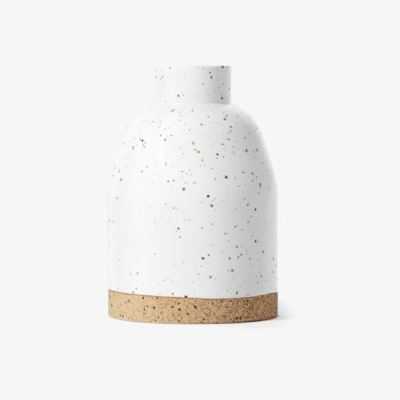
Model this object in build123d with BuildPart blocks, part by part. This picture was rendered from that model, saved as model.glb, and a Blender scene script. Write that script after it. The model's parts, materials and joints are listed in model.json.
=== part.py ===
"""Stoneware bottle vase: a straight body, a shoulder that leans in under a dome, and a plain collar neck.

The clay is thrown in three sections, a cylinder with its floor, a shoulder and a collar, which are luted
together on stepped seams. A glaze coats the outside from a line above the foot up over the lip, and a second
coat lines the inside. Millimetres, +Z up, with the origin on the ground under the middle of the foot.
"""

import os
from math import radians, tan

from build123d import *

# Outside form, measured over the glaze
BODY_DIAMETER = 139.0
HAUNCH_HEIGHT = 109.6  # where the straight lines of the wall and of the leaning flank would cross
HAUNCH_RADIUS = 90.0
FLANK_LEAN = 18.4  # degrees from upright
SHOULDER_RISE = 65.6  # from the haunch height to the crown of the dome
KNUCKLE_RADIUS = 40.5
NECK_RISE = 28.8  # from the crown of the dome to the top of the lip
NECK_DIAMETER = 63.0  # over the lip
NECK_FLARE = 0.75  # degrees, wider towards the lip
NECK_ROOT_ROUND = 1.6  # glaze gathered in the corner under the neck
LIP_OUTER_ROUND = 1.6
LIP_INNER_ROUND = 2.0

# Clay
WALL = 6.0
NECK_WALL = 4.7
FLOOR = 8.0
FLOOR_COVE = 12.0
THROAT_ROUND = 3.0
FOOT_ROUND = 2.0
FOOT_RING = 9.0
FOOT_RECESS = 2.0
RECESS_ROUND = 1.0

# Glaze
OUTER_GLAZE = 0.4
LINER_GLAZE = 0.4
GLAZE_LINE = 21.0
GLAZE_EDGE_ROUND = 0.2

# Stepped seams between the thrown sections
SEAM_HEIGHT = 92.0
SEAM_LAP = 5.0
COLLAR_SEAT_DROP = 4.2  # from the crown of the dome down to the seat that the collar stands on

body_radius = BODY_DIAMETER / 2
lip_radius = NECK_DIAMETER / 2
dome_top = HAUNCH_HEIGHT + SHOULDER_RISE
height = dome_top + NECK_RISE
crown_radius = body_radius - SHOULDER_RISE * tan(radians(FLANK_LEAN))
haunch_shift = tan(radians(FLANK_LEAN) / 2)
crown_shift = tan(radians(90 - FLANK_LEAN) / 2)
clay_radius = body_radius - OUTER_GLAZE
clay_inset = OUTER_GLAZE + WALL
clay_bore = lip_radius - OUTER_GLAZE - NECK_WALL
bore_radius = clay_bore - LINER_GLAZE
lip_seam = height - LIP_INNER_ROUND
floor_top = FOOT_RECESS + FLOOR
recess_radius = clay_radius - FOOT_RING
seam_radius = clay_radius - WALL / 2
collar_seat = dome_top - COLLAR_SEAT_DROP
tongue_radius = clay_bore + NECK_WALL / 2


def neck_radius(level):
    """Outside radius of the flared neck at a height."""
    return lip_radius - (height - level) * tan(radians(NECK_FLARE))


def haunch_corner(inset):
    """Corner of the wall and flank lines on a skin that lies inset inside the outside form."""
    return (body_radius - inset, HAUNCH_HEIGHT - inset * haunch_shift)


def crown_corner(inset):
    """Corner of the flank line and the crown of the dome on such a skin."""
    return (crown_radius - inset * crown_shift, dome_top - inset)


def round_hollow_corners(radius):
    """Round the hollow corners of the sketch in hand, by moving its outline out and back again."""
    offset(amount=radius, kind=Kind.INTERSECTION)
    offset(amount=-radius, kind=Kind.ARC)


def outside_form(inset, neck_root_round):
    """Filled half section of the vessel, with its skin moved inwards by inset."""
    haunch = haunch_corner(inset)
    crown = crown_corner(inset)
    neck_top = height - inset
    lip = (neck_radius(neck_top) - inset, neck_top)
    with BuildSketch() as form:
        with BuildLine():
            FilletPolyline(
                (0, 0),
                (haunch[0], 0),
                haunch,
                crown,
                (0, crown[1]),
                radius=[FOOT_ROUND, HAUNCH_RADIUS - inset, KNUCKLE_RADIUS - inset],
            )
            Line((0, crown[1]), (0, 0))
        make_face()
        with BuildLine():
            Polyline(
                (0, HAUNCH_HEIGHT),
                (neck_radius(HAUNCH_HEIGHT) - inset, HAUNCH_HEIGHT),
                lip,
                (0, neck_top),
                close=True,
            )
        make_face()
        fillet(form.vertices().sort_by_distance(lip)[0], LIP_OUTER_ROUND - inset)
        if neck_root_round:
            round_hollow_corners(neck_root_round)
    return form.sketch


def inside_form(coat, bore_top):
    """Filled half section of the hollow, with its skin lying coat deep inside the clay."""
    inset = clay_inset + coat
    haunch = haunch_corner(inset)
    crown = crown_corner(inset)
    bore = clay_bore - coat
    level = floor_top + coat
    with BuildSketch() as form:
        with BuildLine():
            FilletPolyline(
                (0, level),
                (haunch[0], level),
                haunch,
                crown,
                (0, crown[1]),
                radius=[FLOOR_COVE - coat, HAUNCH_RADIUS - inset, KNUCKLE_RADIUS - inset],
            )
            Line((0, crown[1]), (0, level))
        make_face()
        with Locations((0, HAUNCH_HEIGHT)):
            Rectangle(bore, bore_top - HAUNCH_HEIGHT, align=Align.MIN)
        round_hollow_corners(THROAT_ROUND + coat)
    return form.sketch


# The whole clay in half section: outside less hollow, with the foot turned out to a ring
with BuildSketch() as clay:
    add(outside_form(OUTER_GLAZE, 0))
    add(inside_form(0, height), mode=Mode.SUBTRACT)
    lip_edge = clay.vertices().sort_by_distance((clay_bore, height - OUTER_GLAZE))[0]
    fillet(lip_edge, LIP_INNER_ROUND - LINER_GLAZE)
    Rectangle(recess_radius, FOOT_RECESS, align=Align.MIN, mode=Mode.SUBTRACT)
    fillet(clay.vertices().sort_by_distance((recess_radius, 0))[0], RECESS_ROUND)

# What lies below the shoulder seam: the outer half of the wall stops one lap short of the inner half
with BuildSketch() as below_shoulder_seam:
    Rectangle(seam_radius, SEAM_HEIGHT, align=Align.MIN)
    Rectangle(clay_radius, SEAM_HEIGHT - SEAM_LAP, align=Align.MIN)

# What lies above the collar seat: the collar that stands on the seat, and its tongue through the opening
with BuildSketch() as above_collar_seat:
    with BuildLine():
        Polyline(
            (0, collar_seat),
            (neck_radius(collar_seat) - OUTER_GLAZE, collar_seat),
            (neck_radius(height) - OUTER_GLAZE, height),
            (0, height),
            close=True,
        )
    make_face()
    with Locations((0, HAUNCH_HEIGHT)):
        Rectangle(tongue_radius, height - HAUNCH_HEIGHT, align=Align.MIN)

with BuildPart() as base_cylinder:
    with BuildSketch(Plane.XZ):
        add(clay.sketch)
        add(below_shoulder_seam.sketch, mode=Mode.INTERSECT)
    revolve(axis=Axis.Z)
base_cylinder.part.label = "base_cylinder"

with BuildPart() as shoulder_dome:
    with BuildSketch(Plane.XZ):
        add(clay.sketch)
        add(below_shoulder_seam.sketch, mode=Mode.SUBTRACT)
        add(above_collar_seat.sketch, mode=Mode.SUBTRACT)
    revolve(axis=Axis.Z)
shoulder_dome.part.label = "shoulder_dome"

with BuildPart() as neck_collar:
    with BuildSketch(Plane.XZ):
        add(clay.sketch)
        add(above_collar_seat.sketch, mode=Mode.INTERSECT)
    revolve(axis=Axis.Z)
neck_collar.part.label = "neck_collar"

# The outer coat turns in over the lip and ends on the liner, level with the start of the lip's inner round
with BuildPart() as outer_glaze:
    with BuildSketch(Plane.XZ) as coat_section:
        add(outside_form(0, NECK_ROOT_ROUND))
        Rectangle(bore_radius, height, align=Align.MIN, mode=Mode.SUBTRACT)
        fillet(coat_section.vertices().sort_by_distance((bore_radius, height))[0], LIP_INNER_ROUND)
        add(clay.sketch, mode=Mode.SUBTRACT)
        add(inside_form(0, lip_seam), mode=Mode.SUBTRACT)
        Rectangle(body_radius, GLAZE_LINE, align=Align.MIN, mode=Mode.SUBTRACT)
        fillet(coat_section.vertices().sort_by_distance((body_radius, GLAZE_LINE))[0], GLAZE_EDGE_ROUND)
    revolve(axis=Axis.Z)
outer_glaze.part.label = "outer_glaze"

with BuildPart() as liner_glaze:
    with BuildSketch(Plane.XZ):
        add(inside_form(0, lip_seam))
        add(inside_form(LINER_GLAZE, lip_seam), mode=Mode.SUBTRACT)
    revolve(axis=Axis.Z)
liner_glaze.part.label = "liner_glaze"

os.makedirs("parts", exist_ok=True)
for piece in (base_cylinder, shoulder_dome, neck_collar, outer_glaze, liner_glaze):
    export_step(piece.part, f"parts/{piece.part.label}.step")
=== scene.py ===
"""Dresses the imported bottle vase: a speckled white glaze over a foot of bare, gritty stoneware.

The file is laid out as an add-on. Each operator makes one piece of the vase, or the studio that it
stands in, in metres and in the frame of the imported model.
"""

import json
from math import atan2, cos, pi, radians, sin, sqrt, tan

import bmesh
import bpy
from mathutils import Matrix, Vector
from mathutils.bvhtree import BVHTree


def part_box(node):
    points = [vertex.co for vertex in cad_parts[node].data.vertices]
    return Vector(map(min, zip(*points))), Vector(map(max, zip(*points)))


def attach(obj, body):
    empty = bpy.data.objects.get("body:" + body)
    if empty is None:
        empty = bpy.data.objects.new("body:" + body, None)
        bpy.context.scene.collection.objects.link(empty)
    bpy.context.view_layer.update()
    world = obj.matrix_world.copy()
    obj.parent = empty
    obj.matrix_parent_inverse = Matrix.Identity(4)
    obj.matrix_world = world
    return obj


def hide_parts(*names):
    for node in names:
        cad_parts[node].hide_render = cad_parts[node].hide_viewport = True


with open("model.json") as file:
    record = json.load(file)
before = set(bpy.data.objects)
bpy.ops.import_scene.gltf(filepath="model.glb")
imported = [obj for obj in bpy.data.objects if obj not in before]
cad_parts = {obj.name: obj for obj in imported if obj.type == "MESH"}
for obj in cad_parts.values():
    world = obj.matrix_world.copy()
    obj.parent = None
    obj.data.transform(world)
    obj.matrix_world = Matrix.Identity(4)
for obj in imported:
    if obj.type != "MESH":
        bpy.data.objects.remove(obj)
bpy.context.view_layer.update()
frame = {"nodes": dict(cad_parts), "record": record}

bl_info = {
    "name": "Speckled Bottle Vase",
    "version": (1, 0, 0),
    "blender": (4, 5, 0),
    "location": "View3D > Sidebar > Vase",
    "description": "Glaze coats, bare clay foot and studio for a stoneware bottle vase",
    "category": "Add Mesh",
}

MILLIMETRES = 1000  # in a metre

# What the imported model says
MOUNTS = {mount["name"]: mount for mount in frame["record"]["mounts"]}
BODY_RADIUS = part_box("outer_glaze")[1].x
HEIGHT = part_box("outer_glaze")[1].z
GLAZE_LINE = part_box("outer_glaze")[0].z
CLAY_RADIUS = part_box("base_cylinder")[1].x
CLAY_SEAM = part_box("base_cylinder")[1].z
CLAY_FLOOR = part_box("liner_glaze")[0].z
LIP_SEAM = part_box("liner_glaze")[1].z
BORE_RADIUS = MOUNTS["neck_bore"]["dims"]["r_mm"] / MILLIMETRES
COAT = BODY_RADIUS - CLAY_RADIUS
LIP_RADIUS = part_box("neck_collar")[1].x + COAT

# Steps round the wheel, and along each stretch of a section that is turned on it
TURN_STEPS = 256
COAT_WALL_STEPS = 36
WALL_STEPS = 24
HAUNCH_STEPS = 14
FLANK_STEPS = 10
DOME_STEPS = 26
NECK_STEPS = 12
BORE_STEPS = 8
FLAT_STEPS = 2  # the flats of the lip and of the foot ring
ROUND_STEPS = 8
RECESS_ROUND_STEPS = 6
EDGE_ROUND_STEPS = 4
FLOOR_STEPS = 12
COVE_STEPS = 10
COVERED_WALL_STEPS = 12  # clay that the liner covers
COVERED_FLOOR_STEPS = 8
MERGE_DISTANCE = 1e-7
SHARP_ANGLE = radians(50)

# Waves of the glaze line: how many to a turn, their share, and the angle that they start from
SWAY_WAVES = ((3, 1.0, 2.67), (5, 0.47, 0.61))
RIPPLE_WAVES = ((11, 1.0, 2.3), (23, 0.6, 0.4))
HANG_RANGE = (0.002, 0.045)  # heights above the glaze line between which the waves die out

# Throwing marks: how many to a turn, how they climb in radians to a metre, their start and their share
THROWING_WAVES = ((2, 14, 0.0, 1.0), (3, -47, 1.7, 0.6))
PRESS_MEAN = 0.5
PRESS_SWING = 0.3
THROWN_HEIGHT = 0.05  # where the marks have their full depth

# The noise and the bump that every material uses
SOFT_DETAIL = 2.0
FULL_DETAIL = 3.0
NOISE_MIDDLE = (0.5, 0.5, 0.5)
BUMP_DISTANCE = 0.0004

# Ranges below are (start, end), or (start, end, value at the start, value at the end)
# Scattered specks: ragged edge as noise scale and shift, spread and least share of the radius, and fading
SCATTER_RAGGED = (1700.0, 0.0007)
SCATTER_SPREAD = 0.9
SCATTER_LEAST = 0.35
SCATTER_MASK = (1.0, 0.7)
SCATTER_CORE = (0.75, 0.5)

# Placed specks: ragged edge, and how the bleed and the speck fade over its radius
PLACED_RAGGED = (900.0, 0.0015)
PLACED_HALO = (1.6, 0.95)
PLACED_MASK = (1.05, 0.7)

# How far round the vase the placed specks reach: -1 is the front and 0 the sides
FRONT_END = -0.49
SIDE_START = -0.2
SIDE = 0.0
ACROSS = (1.0, 1.0, 0.0)  # leaves out the height

# Glaze: its clouds, its scattered specks as cells to a metre, radius and strength, and its gloss
GLAZE_CLOUDS = 38.0
THIN_SHARE = 0.985  # brightness where the glaze runs thin
THIN_RANGE = (0.35, 0.65)
FAINT_LAYERS = ((620.0, 0.0004, 0.45), (400.0, 0.0006, 0.55))
FAINT_BY_HEIGHT = (0.04, 0.15, 0.3, 0.75)
FAINT_IN_FRONT = (0.0, 0.05, 0.15, 0.5)
STRONG_CELLS = 125.0
STRONG_RADIUS = 0.0017
STRONG_PRESENCE = 0.9
BLEED_SHARE = 0.7
IRON = (1.0, 1.0, 1.0)
NO_IRON = (0.0, 0.0, 0.0)
GLAZE_RIPPLES = 260.0
GLAZE_BUMP = 0.12
SPECK_PIT = -0.6
SPECK_DULLNESS = 0.6
GLOSS_RANGE = (0.3, 0.7, 0.15, 0.11)
GLAZE_IOR = 1.6

# Clay: its grains and clouds
CLAY_GRAINS = 1400.0
CLAY_CLOUDS = 90.0
GRITTY_SIDE = (-0.06, 0.04, 0.35, 1.0)
SAND_RANGE = (0.6, 0.75)
GROG_RANGE = (0.3, 0.2, 0.0, 0.7)
RUSSET_RANGE = (0.6, 0.8, 0.0, 0.3)
# random pink clouds, shown only on the shaded right as painted shade
PAINTED_SHADE_ROSE_SIDE = (-0.01, 0.03)
ROSE_RANGE = (0.48, 0.62, 0.0, 0.4)
HONEY_RANGE = (0.45, 0.65, 0.0, 0.3)

# Clay: painted sheen on the lit left of the band and painted shade on its right, painted light and a painted
# contact shadow along the edge of the foot, and the stain below the glaze
PAINTED_SHEEN_SIDE = (0.0, -0.065)
PAINTED_SHADE_SIDE = (0.0, 0.055)
PAINTED_FOOT_LIGHT_SIDE = (0.02, -0.03)
# painted light along the lit left edge of the foot
PAINTED_FOOT_LIGHT_EDGE = (0.0025, 0.0005, 0.0, 0.5)
# painted contact shadow along the bottom edge of the foot on the right
PAINTED_CONTACT_SHADOW_SIDE = (0.015, 0.045, 0.0, 0.75)
PAINTED_CONTACT_SHADOW_EDGE = (0.0022, 0.0008)
BLUSH_DEPTH = (0.0016, 0.0004, 0.0, 0.8)

# Clay: loose grit as cells to a metre, radius, strength and colour, and its burnt specks
GRIT_LAYERS = ((760.0, 0.0005, 0.5, "sand"), (900.0, 0.00045, 0.6, "grog"), (560.0, 0.00055, 0.7, "grog"))
GRIT_PRESENCE = (-0.06, 0.04, 0.55, 0.8)
GRIT_STRENGTH = (0.0, 0.045, 1.0, 1.6)
GRIT_SIZE = (0.0, 0.045, 1.0, 1.35)
BURNT_CELLS = 240.0
BURNT_RADIUS = 0.0012
BURNT_PRESENCE = 0.9
BURNT_BLEED = 0.7
BURNT_SHARE = 0.95

# Clay: its rough surface
CLAY_TOOTH = 1500.0
GRAIN_HEIGHT = 0.6
CLAY_BUMP = 0.8
CLAY_ROUGHNESS = (0.2, 0.8, 0.6, 0.8)
CLAY_SPECULAR = 0.04

# Ground: a disc under the vase, where the shadow shows in a pool by the foot and in a line of contact
GROUND_RADIUS = 9.0
GROUND_SEGMENTS = 96
GROUND_DROP = 0.0001
GROUND_GREY = (0.80, 0.80, 0.80, 1.0)
PLAIN_WHITE = (1.0, 1.0, 1.0, 1.0)
POOL_BEHIND = 0.2
POOL_BEFORE = -0.75
POOL_REACH = (0.088, 0.068, 0.0, 0.5)
POOL_SIDE = (0.0, 0.05)
POOL_BACK = (0.22, 0.10)
CONTACT_REACH = 0.003

# Ground: soft oval shade painted into the paper to the right of the foot
SHADE_CENTRE = (0.048, -0.03, 0.0)
SHADE_REACH = (0.036, 0.088, 1.0)
SHADE_FADE = (1.0, 0.4, 0.0, 0.12)

# Room: where its sides begin and end, along the directions left to right, front to back and upwards
FRONT_RANGE = (-1.05, -0.65)
LEFT_DIMMING = (-1.0, 0.43, 0.06, 1.0)
BACKDROP_RANGE = (0.3, 0.85)
CEILING_RANGE = (0.75, 0.95)
SWEEP_SLANT = -2.5
SWEEP_EDGE = (0.46, 0.72)
SWEEP_BACK = (0.0, 0.3)
SWEEP_SIDE = (-0.1, 0.15)
ROOM_TINT = (0.985, 0.985, 1.0, 1.0)

# The photograph's frame, for specks that are placed where it shows them
PHOTO_SIDE = 400
SENSOR = 0.036

# Specks of the glaze, read from the photograph as pixel column, pixel row and radius in millimetres
UMBER_SPECKS = (
    (222.7, 66.7, 1.3), (210.0, 72.8, 0.7), (211.5, 77.3, 0.9), (222.1, 98.3, 1.0), (142.5, 140.6, 1.0),
    (178.6, 95.8, 0.55), (252.5, 173.4, 0.6), (217.5, 154.3, 0.85), (119.3, 171.4, 0.8),
    (226.2, 177.2, 1.2), (173.8, 180.5, 0.55), (260.3, 184.3, 0.9), (258.4, 193.0, 0.55),
    (208.3, 196.3, 1.0), (255.6, 209.5, 0.9), (178.5, 228.6, 0.8), (235.4, 226.7, 0.55),
    (255.6, 241.2, 1.05), (263.3, 251.8, 0.9), (202.5, 258.1, 0.75), (261.2, 276.2, 0.7),
    (257.5, 282.2, 0.6), (133.1, 292.3, 0.7), (185.8, 296.8, 1.1),
)
RUST_SPECKS = (
    (160.7, 78.7, 0.7), (162.8, 76.7, 0.6), (224.9, 119.1, 1.2), (226.7, 115.9, 1.0), (201.5, 124.6, 0.8),
    (178.6, 95.8, 0.9), (183.9, 189.2, 1.1), (252.5, 173.4, 0.9), (203.2, 258.4, 1.0),
    (261.2, 276.2, 0.9), (165.0, 139.9, 0.8), (140.2, 139.4, 0.8), (133.0, 147.5, 0.9),
    (144.5, 146.9, 0.6), (246.6, 150.6, 1.3), (198.5, 151.9, 0.95), (216.9, 158.4, 0.45),
    (121.0, 179.8, 1.05), (254.9, 209.9, 0.8), (118.6, 168.8, 0.5), (112.6, 174.5, 0.3),
    (211.7, 205.8, 1.1), (212.7, 200.6, 0.4), (179.9, 237.2, 0.6), (225.4, 233.7, 0.7),
    (236.8, 246.9, 0.9), (208.7, 255.1, 0.8), (238.4, 257.1, 0.8), (229.6, 258.5, 0.9),
    (232.4, 270.6, 1.0), (210.5, 277.2, 1.0), (215.4, 278.8, 0.45), (256.7, 277.4, 0.5),
    (136.3, 288.8, 0.6), (118.4, 288.5, 0.5), (251.2, 216.4, 0.6),
)
OLIVE_SPECKS = (
    (192.6, 110.8, 0.9), (192.5, 107.5, 0.5), (230.9, 127.1, 1.05), (230.6, 131.3, 0.7),
    (255.0, 130.5, 0.7), (249.6, 133.3, 0.7), (251.7, 125.8, 0.6), (145.1, 143.0, 0.7),
    (143.2, 145.1, 0.7), (257.0, 149.8, 1.2), (257.7, 147.3, 0.5), (202.5, 158.8, 0.6),
    (202.5, 161.0, 0.6), (223.5, 156.9, 0.6), (233.3, 146.9, 0.6), (233.6, 152.3, 0.7),
    (225.9, 139.5, 0.5), (208.3, 116.8, 0.6), (223.2, 112.8, 0.6), (146.8, 166.6, 0.7),
    (168.2, 181.3, 0.8), (195.1, 182.8, 0.5), (235.1, 179.0, 0.55), (235.4, 176.4, 0.4),
    (256.5, 176.8, 0.6), (252.5, 180.6, 0.7), (260.0, 187.2, 0.7), (244.6, 198.5, 0.7),
    (247.8, 204.8, 1.0), (116.9, 198.2, 0.95), (228.9, 139.3, 0.9), (243.4, 172.5, 0.9),
    (260.4, 184.9, 1.1), (248.3, 222.0, 0.8), (113.2, 221.8, 0.95), (212.5, 224.3, 0.6),
    (241.0, 254.8, 0.8), (249.8, 258.7, 0.8), (246.5, 250.1, 0.5), (228.4, 270.3, 0.6),
    (237.1, 292.6, 1.0), (236.9, 294.0, 0.65), (172.7, 293.7, 0.8), (137.4, 273.2, 0.8),
    (164.6, 280.3, 0.6), (182.9, 262.6, 0.5), (180.8, 115.4, 0.6), (271.2, 288.0, 0.6),
)
GOLD_SPECKS = (
    (172.6, 110.8, 1.3), (174.5, 109.6, 0.8), (193.4, 143.2, 1.2), (195.2, 149.7, 0.85),
    (165.9, 163.4, 0.85), (165.5, 165.2, 0.6), (215.2, 178.9, 0.8), (204.6, 165.1, 0.4),
    (176.9, 230.9, 0.6), (201.9, 228.0, 0.8), (214.6, 198.8, 0.5), (137.3, 144.8, 0.6),
    (183.3, 95.5, 0.5), (142.1, 171.6, 0.9), (173.8, 208.0, 0.8), (189.2, 220.2, 0.6),
)
ASH_SPECKS = (
    (222.8, 144.4, 1.0), (170.0, 67.8, 0.8), (155.6, 71.6, 0.85), (203.1, 68.7, 0.55), (203.4, 83.8, 0.7),
    (223.3, 83.9, 0.7), (229.2, 88.5, 1.2), (226.3, 70.8, 0.6), (219.4, 87.4, 0.6), (215.5, 91.3, 0.5),
    (179.9, 112.3, 0.6), (179.4, 120.3, 0.6), (160.3, 121.6, 0.6), (153.9, 121.8, 0.6),
    (150.0, 124.6, 0.6), (160.7, 135.6, 0.8), (171.4, 135.6, 0.6), (139.3, 135.6, 0.6),
    (133.8, 138.2, 0.6), (183.4, 154.4, 0.45), (126.0, 166.8, 0.6), (182.2, 171.4, 0.7),
    (202.9, 109.8, 0.6), (236.6, 123.4, 0.6), (244.6, 126.5, 0.6), (245.6, 128.3, 0.5),
    (245.3, 137.8, 0.8), (236.8, 114.6, 0.6), (238.1, 116.8, 0.7), (253.8, 151.9, 0.8),
    (262.5, 163.4, 0.8), (269.6, 164.2, 0.7), (212.0, 168.4, 0.7), (267.3, 170.9, 0.9),
    (189.6, 129.9, 0.6), (191.1, 174.8, 0.45), (263.3, 175.5, 0.6), (257.5, 183.5, 0.5),
    (245.4, 185.1, 0.6), (238.8, 186.3, 0.5), (269.0, 188.9, 0.75), (201.4, 201.9, 0.6),
    (235.4, 208.9, 0.6), (165.7, 204.1, 0.6), (110.0, 202.9, 0.75), (265.5, 221.5, 0.5),
    (242.3, 229.9, 0.6), (252.3, 236.1, 0.7), (211.8, 245.7, 0.45), (228.8, 240.8, 0.6),
    (258.3, 260.5, 0.6), (201.4, 266.1, 0.6), (251.2, 264.5, 0.5), (232.9, 278.4, 0.5),
    (168.2, 277.8, 0.6), (275.2, 277.2, 0.7), (266.5, 280.3, 0.6), (130.6, 274.4, 0.6),
    (117.6, 253.3, 0.5), (119.4, 259.8, 0.6), (160.0, 293.5, 0.6), (247.9, 294.7, 0.7),
    (227.3, 290.9, 0.6), (237.9, 286.2, 0.5), (246.4, 254.0, 0.5),
)

# Faint specks that lie deep in the glaze, all of one radius in millimetres, as pixel column and row
PALE_RADIUS = 0.5
PALE_SPECKS = (
    (198, 67.5), (184.6, 74.5), (211.3, 70), (221, 79), (182.5, 93), (198.4, 96), (208, 94),
    (221.5, 94.5), (165.4, 102), (165, 86), (229, 74), (182.6, 110), (184.4, 108), (187, 104), (187, 115),
    (141.7, 121.6), (146.5, 121.6), (162.5, 120), (160.5, 125), (159, 127.5), (165, 129), (169, 128),
    (174, 123), (185, 124.5), (191, 132.5), (129, 141), (126, 145), (142, 150), (147, 134), (129, 155),
    (126, 158), (123, 165), (119, 166), (135, 165), (157, 165), (189.5, 170), (173, 166), (181, 147.5),
    (208.7, 107), (210, 109.5), (217, 106), (195, 118), (214, 113), (219.4, 123), (216.7, 123),
    (235.4, 128), (239, 123), (228.6, 133.6), (198, 131), (205, 135.5), (210, 138), (223.5, 134),
    (225.5, 150), (235, 155.5), (250, 142), (258, 142), (255, 137), (250, 155), (255, 158), (213, 146),
    (200.6, 166), (221.5, 170), (242, 166), (217, 173), (155, 175), (147, 179), (153, 182), (123.5, 185),
    (112.5, 205), (149, 206), (177.5, 209), (185.6, 183), (182, 178), (187, 174), (161, 218),
    (170.6, 218.7), (185.4, 220.6), (157, 228.6), (238, 193), (267, 195), (270, 187), (216, 198),
    (222, 209), (215.4, 210), (211, 223.5), (253.6, 232.6), (267.5, 208), (269, 234), (271, 215),
    (249, 198), (249, 210), (234.6, 233), (248, 177), (110, 246), (128.5, 267), (143, 283), (158, 284),
    (155, 254), (153, 259), (172, 276), (173, 282), (178, 286), (174.4, 266), (126, 288), (214, 244.4),
    (206.5, 263), (195.5, 267), (198.6, 274), (199, 279), (203, 280), (192.5, 282), (250, 278),
    (250, 282), (261, 273.4), (272.5, 284.5), (231.5, 294), (222, 290), (241, 246.6), (265.5, 241),
    (259.6, 265),
)

# Burnt specks of the bare clay, as pixel column, pixel row and radius in millimetres
CLAY_SPECKS = (
    (128.6, 300.8, 0.85), (125.8, 302.4, 0.6), (143.2, 297.9, 0.85), (157.1, 298.2, 0.8),
    (154.1, 307.8, 0.95), (144.4, 309.6, 0.75), (144.4, 306.8, 0.5), (147.1, 306.2, 0.6),
    (144.2, 313.4, 0.6), (161.3, 312.5, 0.55), (175.1, 302.5, 0.45), (178.3, 303.8, 0.55),
    (172.3, 306.8, 0.75), (179.7, 309.5, 1.05), (188.0, 313.6, 0.85), (173.6, 315.3, 0.6),
    (178.8, 321.2, 0.75), (181.5, 318.1, 0.5), (120.3, 315.3, 0.8), (122.8, 316.1, 0.95),
    (126.1, 313.3, 0.5), (131.6, 317.3, 0.5), (151.3, 321.4, 0.5), (155.5, 320.6, 0.6),
    (158.4, 317.5, 0.6), (162.8, 318.7, 0.5), (114.4, 294.8, 0.7), (110.4, 296.2, 0.6),
    (165.2, 303.9, 0.5), (153.4, 298.5, 0.4), (179.4, 314.8, 0.5), (187.3, 306.4, 0.5),
    (195.0, 306.6, 0.95), (196.1, 308.3, 0.7), (212.8, 303.8, 0.75), (221.5, 301.5, 0.75),
    (207.1, 315.1, 0.5), (203.6, 319.3, 0.75), (201.4, 322.0, 0.5), (204.8, 313.5, 0.5),
    (217.1, 323.0, 0.75), (224.0, 316.8, 0.75), (230.7, 319.5, 0.6), (225.4, 319.8, 0.5),
    (236.9, 318.5, 1.15), (240.3, 317.9, 0.95), (226.7, 307.7, 0.6), (230.8, 301.2, 0.7),
    (242.6, 306.4, 0.5), (247.5, 300.8, 0.8), (244.0, 301.8, 0.6), (252.9, 307.2, 0.6),
    (252.5, 309.2, 0.5), (258.8, 298.5, 0.75), (256.4, 298.7, 0.5), (262.3, 297.2, 0.6),
    (263.5, 301.4, 0.6), (264.5, 306.2, 0.6), (267.5, 303.5, 0.7), (256.0, 313.9, 0.5),
    (262.9, 313.1, 0.5), (260.4, 318.1, 0.6), (275.7, 295.4, 0.5), (205.8, 308.2, 0.5),
    (209.6, 312.7, 0.5), (274.2, 312.2, 0.5),
)


class VaseShape(bpy.types.PropertyGroup):
    """Form of the vase, measured over the glaze."""

    haunch_height: bpy.props.FloatProperty(
        name="Haunch Height",
        description="Where the straight lines of the wall and of the leaning flank would cross",
        default=0.1096, unit="LENGTH",
    )
    haunch_round: bpy.props.FloatProperty(
        name="Haunch Round", description="Radius between wall and flank", default=0.090, unit="LENGTH",
    )
    flank_lean: bpy.props.FloatProperty(
        name="Flank Lean", description="How far the flank leans in from upright",
        default=radians(18.4), unit="ROTATION",
    )
    shoulder_rise: bpy.props.FloatProperty(
        name="Shoulder Rise", description="From the haunch height to the crown of the dome",
        default=0.0656, unit="LENGTH",
    )
    knuckle_round: bpy.props.FloatProperty(
        name="Knuckle Round", description="Radius of the dome over the flank", default=0.0405, unit="LENGTH",
    )
    neck_flare: bpy.props.FloatProperty(
        name="Neck Flare", description="How far the neck widens towards the lip",
        default=radians(0.75), unit="ROTATION",
    )
    neck_root_round: bpy.props.FloatProperty(
        name="Neck Root Round", description="Glaze gathered in the corner under the neck",
        default=0.0016, unit="LENGTH",
    )
    lip_outer_round: bpy.props.FloatProperty(
        name="Lip Outer Round", description="Outer rounding of the lip", default=0.0016, unit="LENGTH",
    )
    throat_round: bpy.props.FloatProperty(
        name="Throat Round", description="Rounding of the clay where the dome turns up into the neck",
        default=0.003, unit="LENGTH",
    )
    wall: bpy.props.FloatProperty(
        name="Wall", description="Thickness of the clay wall", default=0.006, unit="LENGTH",
    )
    floor_cove: bpy.props.FloatProperty(
        name="Floor Cove", description="Radius between the floor and the wall inside",
        default=0.012, unit="LENGTH",
    )
    seam_lap: bpy.props.FloatProperty(
        name="Seam Lap", description="Height of the step in the seam under the shoulder",
        default=0.005, unit="LENGTH",
    )
    foot_round: bpy.props.FloatProperty(
        name="Foot Round", description="Outer rounding of the foot", default=0.002, unit="LENGTH",
    )
    foot_ring: bpy.props.FloatProperty(
        name="Foot Ring", description="Width of the ring that the vase stands on",
        default=0.009, unit="LENGTH",
    )
    foot_recess: bpy.props.FloatProperty(
        name="Foot Recess", description="Depth turned out inside the foot ring",
        default=0.002, unit="LENGTH",
    )
    recess_round: bpy.props.FloatProperty(
        name="Recess Round", description="Inner rounding of the foot ring", default=0.001, unit="LENGTH",
    )
    dip_tilt: bpy.props.FloatProperty(
        name="Dip Tilt", description="How far the dipped glaze line rises above and falls below its level",
        default=0.00128, unit="LENGTH",
    )
    dip_side: bpy.props.FloatProperty(
        name="Dip Side", description="Where the glaze line is highest, clockwise from the front",
        default=radians(-66), unit="ROTATION",
    )
    dip_sway: bpy.props.FloatProperty(
        name="Dip Sway", description="Long waves of the glaze line", default=0.00075, unit="LENGTH",
    )
    dip_ripple: bpy.props.FloatProperty(
        name="Dip Ripple", description="Small waves of the glaze line", default=0.0001, unit="LENGTH",
    )
    hand_wobble: bpy.props.FloatProperty(
        name="Hand Wobble", description="How far the hand-thrown skin falls short of a true circle",
        default=0.00016, unit="LENGTH",
    )


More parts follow.
